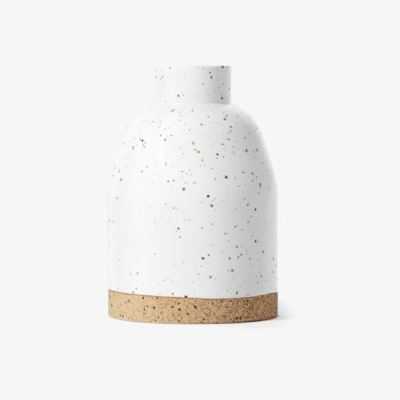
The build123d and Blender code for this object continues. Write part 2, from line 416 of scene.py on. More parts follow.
class VaseGlaze(bpy.types.PropertyGroup):
    """Finish of the glaze."""

    white: bpy.props.FloatVectorProperty(
        name="White", description="Clean glaze", subtype="COLOR", size=3, default=(0.800, 0.798, 0.797),
    )
    umber: bpy.props.FloatVectorProperty(
        name="Umber", description="Burnt iron at the middle of a speck", subtype="COLOR", size=3,
        default=(0.034, 0.018, 0.003),
    )
    rust: bpy.props.FloatVectorProperty(
        name="Rust", description="Specks that bled red", subtype="COLOR", size=3,
        default=(0.310, 0.150, 0.030),
    )
    olive: bpy.props.FloatVectorProperty(
        name="Olive", description="Specks that bled green", subtype="COLOR", size=3,
        default=(0.190, 0.195, 0.050),
    )
    amber: bpy.props.FloatVectorProperty(
        name="Amber", description="Fringe of iron round a burnt speck", subtype="COLOR", size=3,
        default=(0.560, 0.300, 0.060),
    )
    fringe: bpy.props.FloatVectorProperty(
        name="Fringe", description="Pale fringe round an olive or a gold speck", subtype="COLOR", size=3,
        default=(0.620, 0.575, 0.270),
    )
    gold: bpy.props.FloatVectorProperty(
        name="Gold", description="Specks that bled yellow", subtype="COLOR", size=3,
        default=(0.520, 0.410, 0.150),
    )
    ash: bpy.props.FloatVectorProperty(
        name="Ash", description="Specks that lie deep in the glaze", subtype="COLOR", size=3,
        default=(0.100, 0.100, 0.096),
    )
    haze: bpy.props.FloatVectorProperty(
        name="Haze", description="Small specks that hardly show", subtype="COLOR", size=3,
        default=(0.270, 0.265, 0.245),
    )


class VaseClay(bpy.types.PropertyGroup):
    """Finish of the bare stoneware."""

    tan: bpy.props.FloatVectorProperty(
        name="Tan", description="Body of the clay", subtype="COLOR", size=3, default=(0.610, 0.407, 0.212),
    )
    sand: bpy.props.FloatVectorProperty(
        name="Sand", description="Pale grains", subtype="COLOR", size=3, default=(0.760, 0.560, 0.340),
    )
    grog: bpy.props.FloatVectorProperty(
        name="Grog", description="Dark grains", subtype="COLOR", size=3, default=(0.170, 0.080, 0.028),
    )
    russet: bpy.props.FloatVectorProperty(
        name="Russet", description="Grains rich in iron", subtype="COLOR", size=3,
        default=(0.600, 0.330, 0.220),
    )
    rose: bpy.props.FloatVectorProperty(
        name="Rose", description="Pink clouds, kept to the shaded side as painted shade", subtype="COLOR", size=3,
        default=(0.620, 0.340, 0.240),
    )
    honey: bpy.props.FloatVectorProperty(
        name="Honey", description="Yellow clouds", subtype="COLOR", size=3, default=(0.620, 0.420, 0.150),
    )
    # painted sheen: a tint that lightens the lit left side of the clay band
    painted_sheen: bpy.props.FloatVectorProperty(
        name="Painted Sheen", description="Painted sheen that lightens the lit left side", subtype="COLOR", size=3,
        default=(1.130, 1.300, 1.580),
    )
    # painted shade: a tint that darkens and reddens the shaded right side of the clay band
    painted_shade: bpy.props.FloatVectorProperty(
        name="Painted Shade", description="Painted shade that darkens the shaded right side", subtype="COLOR", size=3,
        default=(0.960, 0.790, 0.720),
    )
    # painted light: a pale colour laid on the lit left edge of the foot
    painted_foot_light: bpy.props.FloatVectorProperty(
        name="Painted Foot Light", description="Painted light on the lit left edge of the foot", subtype="COLOR", size=3,
        default=(0.950, 0.800, 0.600),
    )
    blush: bpy.props.FloatVectorProperty(
        name="Blush", description="Line of iron below the glaze", subtype="COLOR", size=3,
        default=(0.430, 0.215, 0.105),
    )
    # colour of the burnt specks, also used for the painted contact shadow along the foot on the right
    burnt: bpy.props.FloatVectorProperty(
        name="Burnt", description="Burnt specks", subtype="COLOR", size=3, default=(0.018, 0.005, 0.001),
    )


class VaseStudio(bpy.types.PropertyGroup):
    """Camera, light and ground."""

    camera_distance: bpy.props.FloatProperty(
        name="Camera Distance", description="From the camera to the axis of the vase", default=2.0,
        unit="LENGTH",
    )
    camera_side: bpy.props.FloatProperty(
        name="Camera Side", description="How far the camera stands to the right of the axis",
        default=0.00567, unit="LENGTH",
    )
    aim_height: bpy.props.FloatProperty(
        name="Aim Height", description="Height in the middle of the picture", default=0.0946, unit="LENGTH",
    )
    lens: bpy.props.FloatProperty(
        name="Lens", description="Focal length in millimetres", default=221.4,
    )
    key_azimuth: bpy.props.FloatProperty(
        name="Key Azimuth", description="Where the window light stands, clockwise from the front",
        default=radians(-52), unit="ROTATION",
    )
    key_height: bpy.props.FloatProperty(
        name="Key Height", description="How high the window light stands", default=radians(31),
        unit="ROTATION",
    )
    key_spread: bpy.props.FloatProperty(
        name="Key Spread", description="Angle that the window light fills", default=radians(10),
        unit="ROTATION",
    )
    key_strength: bpy.props.FloatProperty(
        name="Key Strength", description="Strength of the window light", default=2.63,
    )
    ceiling: bpy.props.FloatProperty(
        name="Ceiling", description="Brightness of the room overhead", default=0.55,
    )
    backdrop: bpy.props.FloatProperty(
        name="Backdrop", description="Brightness of the paper behind the vase", default=0.921,
    )
    front: bpy.props.FloatProperty(
        name="Front", description="Brightness of the reflector round the camera", default=1.06,
    )
    room: bpy.props.FloatProperty(
        name="Room", description="Brightness of the room at the sides", default=0.56,
    )
    disc: bpy.props.FloatProperty(
        name="Disc", description="Brightness of the lit disc on the paper behind the vase", default=1.35,
    )
    disc_azimuth: bpy.props.FloatProperty(
        name="Disc Azimuth", description="Where the lit disc stands, clockwise from the front",
        default=radians(155), unit="ROTATION",
    )
    disc_height: bpy.props.FloatProperty(
        name="Disc Height", description="How high the middle of the lit disc stands", default=radians(24),
        unit="ROTATION",
    )
    disc_radius: bpy.props.FloatProperty(
        name="Disc Radius", description="Angle from the middle of the lit disc to its edge",
        default=radians(19.2), unit="ROTATION",
    )
    disc_edge: bpy.props.FloatProperty(
        name="Disc Edge", description="Angle over which the edge of the lit disc fades",
        default=radians(1.8), unit="ROTATION",
    )
    sweep: bpy.props.FloatProperty(
        name="Sweep", description="Brightness of the lit ground behind the vase, as the glaze mirrors it",
        default=1.2,
    )


class ProfilePen:
    """Draws a line in the XZ plane by extruding and swinging its last vertex."""

    def __init__(self, mesh, radius, level):
        self.mesh = mesh
        self.start = mesh.verts.new((radius, 0, level))
        self.tip = self.start

    def line(self, radius, level, steps=1):
        """Draws a straight run in equal steps."""
        begin = self.tip.co.copy()
        end = Vector((radius, 0, level))
        for step in range(steps):
            self.tip = bmesh.ops.extrude_vert_indiv(self.mesh, verts=[self.tip])["verts"][0]
            self.tip.co = begin.lerp(end, (step + 1) / steps)

    def arc(self, centre, turn, steps):
        """Swings about a centre, anticlockwise where the turn is positive."""
        swung = bmesh.ops.spin(
            self.mesh, geom=[self.tip], cent=(centre[0], 0, centre[1]), axis=(0, -1, 0), angle=turn,
            steps=steps,
        )
        self.tip = [part for part in swung["geom_last"] if isinstance(part, bmesh.types.BMVert)][0]


def dome_crown(shape):
    """Height of the crown of the dome."""
    return shape.haunch_height + shape.shoulder_rise


def neck_radius(shape, level):
    """Outside radius of the flared neck at a height."""
    return LIP_RADIUS - (HEIGHT - level) * tan(shape.neck_flare)


def haunch_centre(shape):
    """Centre of the haunch rounds, shared by every skin of the wall."""
    drop = shape.haunch_round * tan(shape.flank_lean / 2)
    return (BODY_RADIUS - shape.haunch_round, shape.haunch_height - drop)


def knuckle_centre(shape):
    """Centre of the dome's rounds, shared by every skin of the wall."""
    crown_radius = BODY_RADIUS - shape.shoulder_rise * tan(shape.flank_lean)
    reach = shape.knuckle_round * tan((pi / 2 - shape.flank_lean) / 2)
    return (crown_radius - reach, dome_crown(shape) - shape.knuckle_round)


def draw_shoulder(pen, shape, inset, neck, root_round):
    """Draws a skin from the top of the straight wall over haunch, flank and dome to the root of the neck."""
    lean = shape.flank_lean
    knuckle = knuckle_centre(shape)
    dome = shape.knuckle_round - inset
    pen.arc(haunch_centre(shape), lean, HAUNCH_STEPS)
    pen.line(knuckle[0] + dome * cos(lean), knuckle[1] + dome * sin(lean), FLANK_STEPS)
    root_run = neck + root_round - knuckle[0]
    root_rise = sqrt((dome + root_round) ** 2 - root_run**2)
    root_angle = atan2(root_rise, root_run)
    pen.arc(knuckle, root_angle - lean, DOME_STEPS)
    if root_round:
        pen.arc((neck + root_round, knuckle[1] + root_rise), -root_angle, ROUND_STEPS)


def draw_outside(pen, shape, inset, root_round):
    """Draws a skin of the outside from the wall up over the lip and down to the lip seam."""
    lip_inner_round = HEIGHT - LIP_SEAM
    outer_centre = (LIP_RADIUS - shape.lip_outer_round, HEIGHT - shape.lip_outer_round)
    inner_centre = (BORE_RADIUS + lip_inner_round, LIP_SEAM)
    pen.line(BODY_RADIUS - inset, haunch_centre(shape)[1], COAT_WALL_STEPS)
    draw_shoulder(pen, shape, inset, neck_radius(shape, dome_crown(shape)) - inset, root_round)
    pen.line(LIP_RADIUS - inset, outer_centre[1], NECK_STEPS)
    pen.arc(outer_centre, pi / 2, ROUND_STEPS)
    pen.line(inner_centre[0], HEIGHT - inset, FLAT_STEPS)
    pen.arc(inner_centre, pi / 2, ROUND_STEPS)


def draw_inside(pen, shape, coat):
    """Draws a skin of the hollow from the middle of the floor up to the lip seam."""
    inset = COAT + shape.wall + coat
    wall = BODY_RADIUS - inset
    cove = shape.floor_cove - coat
    level = CLAY_FLOOR + coat
    bore = BORE_RADIUS + COAT - coat
    pen.line(wall - cove, level, FLOOR_STEPS)
    pen.arc((wall - cove, level + cove), pi / 2, COVE_STEPS)
    pen.line(wall, haunch_centre(shape)[1], WALL_STEPS)
    draw_shoulder(pen, shape, inset, bore, shape.throat_round + coat)
    pen.line(bore, LIP_SEAM, BORE_STEPS)


def turn_on_wheel(mesh):
    """Spins the drawn section into a closed round shell with its faces outwards."""
    section = mesh.verts[:] + mesh.edges[:]
    bmesh.ops.spin(
        mesh, geom=section, cent=(0, 0, 0), axis=(0, 0, 1), angle=2 * pi, steps=TURN_STEPS, use_merge=True,
    )
    bmesh.ops.remove_doubles(mesh, verts=mesh.verts[:], dist=MERGE_DISTANCE)
    bmesh.ops.recalc_face_normals(mesh, faces=mesh.faces[:])
    for face in mesh.faces:
        face.smooth = True


def azimuth(point):
    """Direction of a point seen from the axis, clockwise from the front."""
    return atan2(point.x, -point.y)


def glaze_edge(shape, point):
    """Height of the dipped glaze line on the side where a point lies."""
    turn = azimuth(point)
    tilt = shape.dip_tilt * cos(turn - shape.dip_side)
    sway = shape.dip_sway * sum(share * cos(count * turn + start) for count, share, start in SWAY_WAVES)
    ripple = sum(share * sin(count * turn + start) for count, share, start in RIPPLE_WAVES)
    return GLAZE_LINE + tilt + sway + shape.dip_ripple * ripple


def smooth_step(low, high, value):
    """Rises smoothly from 0 at low to 1 at high."""
    share = min(max((value - low) / (high - low), 0), 1)
    return share * share * (3 - 2 * share)


def hang_glaze_edge(mesh, shape):
    """Lets the lower edge of the coat follow the dipped line."""
    low, high = [GLAZE_LINE + rise for rise in HANG_RANGE]
    for vert in mesh.verts:
        share = 1 - smooth_step(low, high, vert.co.z)
        vert.co.z += share * (glaze_edge(shape, vert.co) - GLAZE_LINE)


def throw_by_hand(mesh, shape):
    """Presses the outer skin in by a hair, in long waves round and up the vase."""
    for vert in mesh.verts:
        radius = Vector((vert.co.x, vert.co.y)).length
        turn = azimuth(vert.co)
        wave = 0
        for count, climb, start, share in THROWING_WAVES:
            wave += share * sin(count * turn + climb * vert.co.z + start)
        depth = shape.hand_wobble * (PRESS_MEAN + PRESS_SWING * wave)
        pull = 1 - depth * smooth_step(GLAZE_LINE, THROWN_HEIGHT, vert.co.z) / radius
        vert.co.x *= pull
        vert.co.y *= pull


def finish_piece(mesh, name, material, node):
    """Turns a bmesh into an object that rides on the vase and stands for one of its nodes."""
    data = bpy.data.meshes.new(name)
    mesh.to_mesh(data)
    mesh.free()
    data.set_sharp_from_angle(angle=SHARP_ANGLE)
    data.materials.append(material)
    piece = bpy.data.objects.new(name, data)
    bpy.context.scene.collection.objects.link(piece)
    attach(piece, "root")
    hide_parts(node)
    return piece


def camera_place(studio):
    """Where the camera stands and how it is turned."""
    stand = Vector((studio.camera_side, -studio.camera_distance, HEIGHT))
    aim = Vector((studio.camera_side, 0, studio.aim_height))
    turn = (aim - stand).to_track_quat("-Z", "Y")
    return Matrix.LocRotScale(stand, turn, None)


def speck_places(mesh, studio, specks):
    """Points on a mesh under pixels of the photograph, each with the speck's radius."""
    place = camera_place(studio)
    stand = place.to_translation()
    focal = studio.lens / MILLIMETRES / SENSOR * PHOTO_SIDE
    tree = BVHTree.FromBMesh(mesh)
    found = []
    for column, row, radius in specks:
        across = column - PHOTO_SIDE / 2
        up = PHOTO_SIDE / 2 - row
        sight = place.to_3x3() @ Vector((across, up, -focal))
        point = tree.ray_cast(stand, sight.normalized())[0]
        if point is None:
            raise RuntimeError(f"the speck at pixel {column}, {row} misses the vase")
        found.append((point, radius / MILLIMETRES))
    return found


def add_node(tree, kind, inputs=None, **settings):
    """Adds a node, sets what it is given and joins the sockets among its inputs."""
    node = tree.nodes.new(kind)
    for name, value in settings.items():
        setattr(node, name, value)
    for key, value in (inputs or {}).items():
        if isinstance(value, bpy.types.NodeSocket):
            tree.links.new(value, node.inputs[key])
        else:
            node.inputs[key].default_value = value
    return node


def calculate(tree, operation, first, second=0.0, third=0.0):
    """Adds a Math node and returns its value."""
    return add_node(tree, "ShaderNodeMath", {0: first, 1: second, 2: third}, operation=operation).outputs[0]


def multiply(tree, first, second):
    """Adds a Math node that multiplies and returns its value."""
    return calculate(tree, "MULTIPLY", first, second)


def larger(tree, first, second):
    """Adds a Math node that keeps the larger value and returns it."""
    return calculate(tree, "MAXIMUM", first, second)


def vector_math(tree, operation, *vectors):
    """Adds a Vector Math node and returns its outputs."""
    inputs = dict(enumerate(vectors))
    return add_node(tree, "ShaderNodeVectorMath", inputs, operation=operation).outputs


def ease(tree, value, start, end, low=0.0, high=1.0):
    """Adds a smooth Map Range from start to end and returns its result."""
    limits = {"Value": value, "From Min": start, "From Max": end, "To Min": low, "To Max": high}
    return add_node(tree, "ShaderNodeMapRange", limits, interpolation_type="SMOOTHSTEP").outputs[0]


def blend_colour(tree, share, under, over, blend="MIX"):
    """Adds a colour Mix node and returns its colour."""
    node = add_node(
        tree, "ShaderNodeMix", {0: share, 6: under, 7: over}, data_type="RGBA", blend_type=blend,
    )
    return node.outputs[2]


def blend_value(tree, share, under, over):
    """Adds a Mix node for plain values and returns its result."""
    return add_node(tree, "ShaderNodeMix", {0: share, 2: under, 3: over}).outputs[0]


def noise(tree, place, scale, detail):
    """Adds a noise texture and returns its outputs."""
    return add_node(tree, "ShaderNodeTexNoise", {"Vector": place, "Scale": scale, "Detail": detail}).outputs


def split_place(tree, place):
    """Gives the three parts of a place or a direction."""
    return add_node(tree, "ShaderNodeSeparateXYZ", {"Vector": place}).outputs


def split_colour(tree, colour):
    """Gives the three parts of a colour, as values that don't depend on each other."""
    return add_node(tree, "ShaderNodeSeparateColor", {"Color": colour}).outputs


def solid(colour):
    """A property's colour with full alpha, as a socket takes it."""
    return (*colour, 1.0)


def new_group(name, inputs, outputs):
    """Starts a shader node group with named sockets."""
    group = bpy.data.node_groups.new(name, "ShaderNodeTree")
    for label, kind in inputs:
        group.interface.new_socket(label, in_out="INPUT", socket_type=kind)
    for label, kind in outputs:
        group.interface.new_socket(label, in_out="OUTPUT", socket_type=kind)
    return group, add_node(group, "NodeGroupInput").outputs, add_node(group, "NodeGroupOutput").inputs


def ragged_vector(tree, place, scale, amount):
    """Shifts a place a little by noise, so that round marks get ragged edges."""
    drift = noise(tree, place, scale, SOFT_DETAIL)["Color"]
    centred = vector_math(tree, "SUBTRACT", drift, NOISE_MIDDLE)["Vector"]
    shift = (amount, amount, amount)
    return vector_math(tree, "MULTIPLY_ADD", centred, shift, place)["Vector"]


def speck_scatter_group():
    """Node group that scatters round specks of uneven size through the body of a glaze or clay."""
    name = "speck_scatter"
    if name in bpy.data.node_groups:
        return bpy.data.node_groups[name]
    group, given, put = new_group(
        name,
        [("Vector", "NodeSocketVector"), ("Cells", "NodeSocketFloat"), ("Radius", "NodeSocketFloat"),
         ("Presence", "NodeSocketFloat")],
        [("Mask", "NodeSocketFloat"), ("Core", "NodeSocketFloat"), ("Pick", "NodeSocketFloat")],
    )
    place = ragged_vector(group, given["Vector"], *SCATTER_RAGGED)
    cells = add_node(group, "ShaderNodeTexVoronoi", {"Vector": place, "Scale": given["Cells"]}).outputs
    chance = split_colour(group, cells["Color"])
    present = calculate(group, "LESS_THAN", chance["Red"], given["Presence"])
    spread = calculate(group, "MULTIPLY_ADD", chance["Green"], SCATTER_SPREAD, SCATTER_LEAST)
    radius = multiply(group, given["Radius"], spread)
    distance = calculate(group, "DIVIDE", cells["Distance"], given["Cells"])
    share = calculate(group, "DIVIDE", distance, radius)
    group.links.new(multiply(group, present, ease(group, share, *SCATTER_MASK)), put["Mask"])
    group.links.new(multiply(group, present, ease(group, share, *SCATTER_CORE)), put["Core"])
    group.links.new(chance["Blue"], put["Pick"])
    return group


def placed_specks_group(name, places):
    """Node group that gives how near a surface point is to the nearest of some placed specks."""
    group, given, put = new_group(
        name,
        [("Vector", "NodeSocketVector")],
        [("Halo", "NodeSocketFloat"), ("Mask", "NodeSocketFloat")],
    )
    vector = ragged_vector(group, given["Vector"], *PLACED_RAGGED)
    nearest = None
    for radius in sorted({size for point, size in places}):
        closest = None
        for point in [point for point, size in places if size == radius]:
            apart = vector_math(group, "DISTANCE", vector, point)["Value"]
            closest = apart if closest is None else calculate(group, "MINIMUM", closest, apart)
        share = calculate(group, "DIVIDE", closest, radius)
        nearest = share if nearest is None else calculate(group, "MINIMUM", nearest, share)
    group.links.new(ease(group, nearest, *PLACED_HALO), put["Halo"])
    group.links.new(ease(group, nearest, *PLACED_MASK), put["Mask"])
    return group


def new_material(name):
    """A material with its Principled shader and its object coordinates."""
    material = bpy.data.materials.new(name)
    material.use_nodes = True
    tree = material.node_tree
    place = add_node(tree, "ShaderNodeTexCoord").outputs["Object"]
    return material, tree, tree.nodes["Principled BSDF"], place


def scatter(tree, place, cells, radius, presence):
    """Places the scatter group in a material and returns its outputs."""
    given = {"Vector": place, "Cells": cells, "Radius": radius, "Presence": presence}
    return add_node(tree, "ShaderNodeGroup", given, node_tree=speck_scatter_group()).outputs


def put_specks(tree, place, label, places):
    """Places a group of placed specks in a material and returns its outputs."""
    group = placed_specks_group(label, places)
    return add_node(tree, "ShaderNodeGroup", {"Vector": place}, node_tree=group).outputs


def speck_colours(tree, pick, colours):
    """A ramp that picks one of some colours for each speck."""
    ramp = add_node(tree, "ShaderNodeValToRGB", {"Fac": pick})
    ramp.color_ramp.interpolation = "CONSTANT"
    elements = ramp.color_ramp.elements
    while len(elements) < len(colours):
        elements.new(1.0)
    for index, colour in enumerate(colours):
        elements[index].position = index / len(colours)
        elements[index].color = solid(colour)
    return ramp.outputs["Color"]


def turn_to_back(tree, place):
    """How far round the vase a place lies, from -1 in front over 0 at the sides to 1 at the back."""
    level = vector_math(tree, "MULTIPLY", place, ACROSS)["Vector"]
    outward = vector_math(tree, "NORMALIZE", level)["Vector"]
    return split_place(tree, outward)["Y"]


def roughen(tree, surface, strength, height):
    """Presses a height into the surface as a bump."""
    given = {"Strength": strength, "Distance": BUMP_DISTANCE, "Height": height}
    bump = add_node(tree, "ShaderNodeBump", given)
    tree.links.new(bump.outputs["Normal"], surface.inputs["Normal"])


def scatter_in_glaze(tree, glaze, place, colour, sparse_in_front):
    """Scatters faint and strong specks; returns the colour, and masks of the pits and of the bare iron."""
    where = split_place(tree, place)
    fine = ease(tree, where["Z"], *FAINT_BY_HEIGHT)
    large = STRONG_PRESENCE
    if sparse_in_front:
        backward = turn_to_back(tree, place)
        large = ease(tree, backward, FRONT_END, SIDE_START, 0.0, STRONG_PRESENCE)
        in_front = ease(tree, where["X"], *FAINT_IN_FRONT)
        fine = multiply(tree, fine, blend_value(tree, ease(tree, backward, FRONT_END, SIDE), in_front, 1.0))

    faint = [glaze.ash, glaze.olive, glaze.ash, glaze.umber, glaze.olive, glaze.ash, glaze.rust]
    pits = None
    for cells, radius, strength in FAINT_LAYERS:
        specks = scatter(tree, place, cells, radius, fine)
        tint = speck_colours(tree, specks["Pick"], faint)
        colour = blend_colour(tree, multiply(tree, specks["Mask"], strength), colour, tint)
        pits = specks["Mask"] if pits is None else larger(tree, pits, specks["Mask"])

    strong = [glaze.rust, glaze.olive, glaze.umber, glaze.gold, glaze.ash, glaze.rust, glaze.umber]
    bleeds = [glaze.amber, glaze.fringe, glaze.amber, glaze.fringe, glaze.white, glaze.amber, glaze.amber]
    irons = [IRON if tint == glaze.umber else NO_IRON for tint in strong]
    specks = scatter(tree, place, STRONG_CELLS, STRONG_RADIUS, large)
    ring = speck_colours(tree, specks["Pick"], bleeds)
    colour = blend_colour(tree, multiply(tree, specks["Mask"], BLEED_SHARE), colour, ring)
    colour = blend_colour(tree, specks["Core"], colour, speck_colours(tree, specks["Pick"], strong))
    pits = larger(tree, pits, specks["Core"])
    iron = multiply(tree, specks["Core"], speck_colours(tree, specks["Pick"], irons))
    return colour, pits, iron


def glaze_material(name, glaze, placed):
    """White speckled glaze; where specks are placed in front, few are scattered there."""
    material, tree, surface, place = new_material(name)
    cloud = noise(tree, place, GLAZE_CLOUDS, FULL_DETAIL)["Fac"]
    thin = [THIN_SHARE * channel for channel in glaze.white]
    colour = blend_colour(tree, ease(tree, cloud, *THIN_RANGE), solid(thin), solid(glaze.white))
    colour, pits, iron = scatter_in_glaze(tree, glaze, place, colour, bool(placed))
    for label, bleed, tint, places in placed:
        specks = put_specks(tree, place, label, places)
        colour = blend_colour(tree, multiply(tree, specks["Halo"], BLEED_SHARE), colour, solid(bleed))
        colour = blend_colour(tree, specks["Mask"], colour, solid(tint))
        pits = larger(tree, pits, specks["Mask"])
        if tint == glaze.umber:
            iron = larger(tree, iron, specks["Mask"])
    tree.links.new(colour, surface.inputs["Base Color"])
    tree.links.new(iron, surface.inputs["Metallic"])

    ripple = noise(tree, place, GLAZE_RIPPLES, SOFT_DETAIL)["Fac"]
    roughen(tree, surface, GLAZE_BUMP, calculate(tree, "MULTIPLY_ADD", pits, SPECK_PIT, ripple))
    gloss = ease(tree, cloud, *GLOSS_RANGE)
    dull = calculate(tree, "MULTIPLY_ADD", pits, SPECK_DULLNESS, gloss)
    tree.links.new(dull, surface.inputs["Roughness"])
    surface.inputs["IOR"].default_value = GLAZE_IOR
    return material


def clay_body(tree, clay, place, where, picks):
    """Colour of the clay: grains of sand, grog and russet, with honey clouds, and rose clouds kept to the
    shaded right as painted shade.
    """
    clouds = split_colour(tree, noise(tree, place, CLAY_CLOUDS, FULL_DETAIL)["Color"])
    gritty = ease(tree, where["X"], *GRITTY_SIDE)
    pale = multiply(tree, ease(tree, picks["Red"], *SAND_RANGE), gritty)
    dark = multiply(tree, ease(tree, picks["Red"], *GROG_RANGE), gritty)
    # rose clouds only on the shaded right: painted shade
    rosy = multiply(tree, ease(tree, clouds["Red"], *ROSE_RANGE), ease(tree, where["X"], *PAINTED_SHADE_ROSE_SIDE))
    colour = blend_colour(tree, pale, solid(clay.tan), solid(clay.sand))
    colour = blend_colour(tree, dark, colour, solid(clay.grog))
    colour = blend_colour(tree, ease(tree, picks["Green"], *RUSSET_RANGE), colour, solid(clay.russet))
    colour = blend_colour(tree, rosy, colour, solid(clay.rose))
    return blend_colour(tree, ease(tree, clouds["Green"], *HONEY_RANGE), colour, solid(clay.honey))


def paint_clay_light_and_blush(tree, clay, where, colour):
    """Paints sheen on the band's lit left and shade on its right, light and a contact shadow at the foot;
    adds the iron blush.
    """
    # painted sheen on the lit left of the band, painted shade on its shaded right
    for side, tint in ((PAINTED_SHEEN_SIDE, clay.painted_sheen), (PAINTED_SHADE_SIDE, clay.painted_shade)):
        colour = blend_colour(tree, ease(tree, where["X"], *side), colour, solid(tint), "MULTIPLY")
    # painted light on the foot's lit left edge, and a painted contact shadow along the foot on the right
    for side, edge, tint in (
        (PAINTED_FOOT_LIGHT_SIDE, PAINTED_FOOT_LIGHT_EDGE, clay.painted_foot_light), (PAINTED_CONTACT_SHADOW_SIDE, PAINTED_CONTACT_SHADOW_EDGE, clay.burnt),
    ):
        rim = multiply(tree, ease(tree, where["Z"], *edge), ease(tree, where["X"], *side))
        colour = blend_colour(tree, rim, colour, solid(tint))
    below = add_node(tree, "ShaderNodeAttribute", attribute_name="below_glaze").outputs["Fac"]
    return blend_colour(tree, ease(tree, below, *BLUSH_DEPTH), colour, solid(clay.blush))


def strew_grit(tree, clay, place, where, colour):
    """Strews fine pale and dark grit, which is coarser and stronger towards the right."""
    presence = ease(tree, where["X"], *GRIT_PRESENCE)
    lively = ease(tree, where["X"], *GRIT_STRENGTH)
    coarser = ease(tree, where["X"], *GRIT_SIZE)
    for cells, radius, strength, tint in GRIT_LAYERS:
        fine = scatter(tree, place, cells, multiply(tree, coarser, radius), presence)
        share = multiply(tree, fine["Mask"], multiply(tree, lively, strength))
        colour = blend_colour(tree, share, colour, solid(getattr(clay, tint)))
    return colour


def burn_specks(tree, clay, place, places, colour):
    """Adds the burnt specks, those placed in front and those scattered over the rest."""
    presence = BURNT_PRESENCE
    if places:
        presence = ease(tree, turn_to_back(tree, place), FRONT_END, SIDE_START, 0.0, BURNT_PRESENCE)
    marks = scatter(tree, place, BURNT_CELLS, BURNT_RADIUS, presence)["Mask"]
    if places:
        specks = put_specks(tree, place, "burnt_specks", places)
        marks = larger(tree, marks, specks["Mask"])
        colour = blend_colour(tree, multiply(tree, specks["Halo"], BURNT_BLEED), colour, solid(clay.grog))
    return blend_colour(tree, multiply(tree, marks, BURNT_SHARE), colour, solid(clay.burnt))


def clay_material(name, clay, places):
    """Bare, gritty stoneware with burnt specks and a blush of iron below the glaze."""
    material, tree, surface, place = new_material(name)
    where = split_place(tree, place)
    grain = add_node(tree, "ShaderNodeTexVoronoi", {"Vector": place, "Scale": CLAY_GRAINS})
    picks = split_colour(tree, grain.outputs["Color"])
    colour = clay_body(tree, clay, place, where, picks)
    colour = paint_clay_light_and_blush(tree, clay, where, colour)
    colour = strew_grit(tree, clay, place, where, colour)
    colour = burn_specks(tree, clay, place, places, colour)
    tree.links.new(colour, surface.inputs["Base Color"])

    tooth = noise(tree, place, CLAY_TOOTH, FULL_DETAIL)["Fac"]
    roughen(tree, surface, CLAY_BUMP, calculate(tree, "MULTIPLY_ADD", picks["Red"], GRAIN_HEIGHT, tooth))
    tree.links.new(ease(tree, tooth, *CLAY_ROUGHNESS), surface.inputs["Roughness"])
    surface.inputs["Specular IOR Level"].default_value = CLAY_SPECULAR
    return material


class VASE_OT_glaze_coat(bpy.types.Operator):
    """Make the outer coat of speckled glaze, from its dipped edge up over the lip"""

    bl_idname = "vase.glaze_coat"
    bl_label = "Glaze Coat"

    def execute(self, context):
        shape = context.scene.vase_shape
        glaze = context.scene.vase_glaze
        studio = context.scene.vase_studio
        edge_round = COAT / 2
        mesh = bmesh.new()
        skin = ProfilePen(mesh, CLAY_RADIUS + edge_round, GLAZE_LINE)
        skin.arc((BODY_RADIUS - edge_round, GLAZE_LINE + edge_round), pi / 2, EDGE_ROUND_STEPS)
        draw_outside(skin, shape, 0, shape.neck_root_round)
        back = ProfilePen(mesh, CLAY_RADIUS, GLAZE_LINE)
        draw_outside(back, shape, COAT, 0)
        mesh.edges.new((skin.start, back.start))
        mesh.edges.new((skin.tip, back.tip))
        turn_on_wheel(mesh)
        hang_glaze_edge(mesh, shape)
        throw_by_hand(mesh, shape)
        placed = []
        pale = [(column, row, PALE_RADIUS) for column, row in PALE_SPECKS]
        for label, bleed, tint, specks in (
            ("pale_specks", glaze.white, glaze.haze, pale),
            ("ash_specks", glaze.white, glaze.ash, ASH_SPECKS),
            ("gold_specks", glaze.fringe, glaze.gold, GOLD_SPECKS),
            ("olive_specks", glaze.fringe, glaze.olive, OLIVE_SPECKS),
            ("rust_specks", glaze.amber, glaze.rust, RUST_SPECKS),
            ("umber_specks", glaze.amber, glaze.umber, UMBER_SPECKS),
        ):
            placed.append((label, bleed, tint, speck_places(mesh, studio, specks)))
        material = glaze_material("speckled_glaze", glaze, placed)
        finish_piece(mesh, "glaze_coat", material, "outer_glaze")
        return {"FINISHED"}


class VASE_OT_inner_glaze(bpy.types.Operator):
    """Make the coat of glaze that lines the hollow"""

    bl_idname = "vase.inner_glaze"
    bl_label = "Inner Glaze"

    def execute(self, context):
        shape = context.scene.vase_shape
        mesh = bmesh.new()
        skin = ProfilePen(mesh, 0, CLAY_FLOOR + COAT)
        draw_inside(skin, shape, COAT)
        back = ProfilePen(mesh, 0, CLAY_FLOOR)
        draw_inside(back, shape, 0)
        mesh.edges.new((skin.tip, back.tip))
        turn_on_wheel(mesh)
        material = glaze_material("liner_glaze", context.scene.vase_glaze, [])
        finish_piece(mesh, "inner_glaze", material, "liner_glaze")
        return {"FINISHED"}


